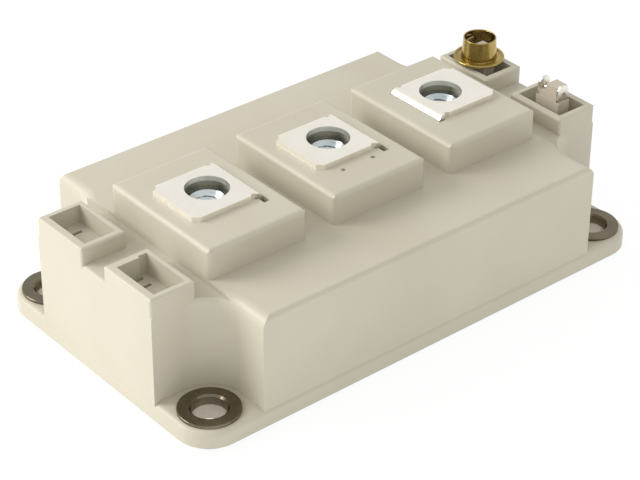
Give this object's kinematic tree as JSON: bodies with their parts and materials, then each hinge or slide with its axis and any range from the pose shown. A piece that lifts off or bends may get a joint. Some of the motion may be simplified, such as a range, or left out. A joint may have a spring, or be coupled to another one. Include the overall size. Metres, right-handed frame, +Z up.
{
  "type": "igbt module",
  "caption": "Flat half-bridge power transistor module: moulded case on a metal base plate, raised screw terminals, end pockets with blade terminals and a brass shorting eyelet.",
  "frame": {"origin": "centre of the base plate's underside, the heat-sink face", "axes": "+X along the module towards the end with the blade terminals, +Y across it towards the eyelet's side, +Z up out of the terminals"},
  "size_m": [0.1064, 0.0614, 0.0313],
  "materials": {
    "case": "satin",
    "nickel_plate": "satin",
    "bush_nickel": "polished",
    "terminal_nickel": "satin",
    "zinc": "bright zinc",
    "holder": "satin",
    "blade_tin": "bright",
    "eyelet_brass": "bright",
    "copper": "bare copper",
    "substrate": "matt",
    "chip": "metallised silicon",
    "bond_wire": "drawn",
    "lead_cover": "satin",
    "gel": "soft clear silicone"
  },
  "bodies": {
    "root": {"housing": "case", "base_plate": "nickel_plate", "bush_front_left": "bush_nickel", "bush_front_right": "bush_nickel", "bush_rear_left": "bush_nickel", "bush_rear_right": "bush_nickel", "terminal_1": "terminal_nickel", "terminal_2": "terminal_nickel", "terminal_3": "terminal_nickel", "nut_1": "zinc", "nut_2": "zinc", "nut_3": "zinc", "holder_front": "holder", "holder_rear": "holder", "blade_front_inner": "blade_tin", "blade_front_outer": "blade_tin", "blade_rear_inner": "blade_tin", "blade_rear_outer": "blade_tin", "shorting_eyelet": "eyelet_brass", "back_copper_left": "copper", "back_copper_right": "copper", "ceramic_left": "substrate", "ceramic_right": "substrate", "tracks_left": "copper", "tracks_right": "copper", "igbt_left_front": "chip", "igbt_left_rear": "chip", "igbt_right_front": "chip", "igbt_right_rear": "chip", "diode_left_front": "chip", "diode_left_rear": "chip", "diode_right_front": "chip", "diode_right_rear": "chip", "bond_wires_left": "bond_wire", "bond_wires_right": "bond_wire", "link_output": "copper", "link_minus": "copper", "lead_front_inner": "lead_cover", "lead_front_outer": "lead_cover", "lead_rear_inner": "lead_cover", "lead_rear_outer": "lead_cover", "gel_fill": "gel"}
  },
  "joints": []
}
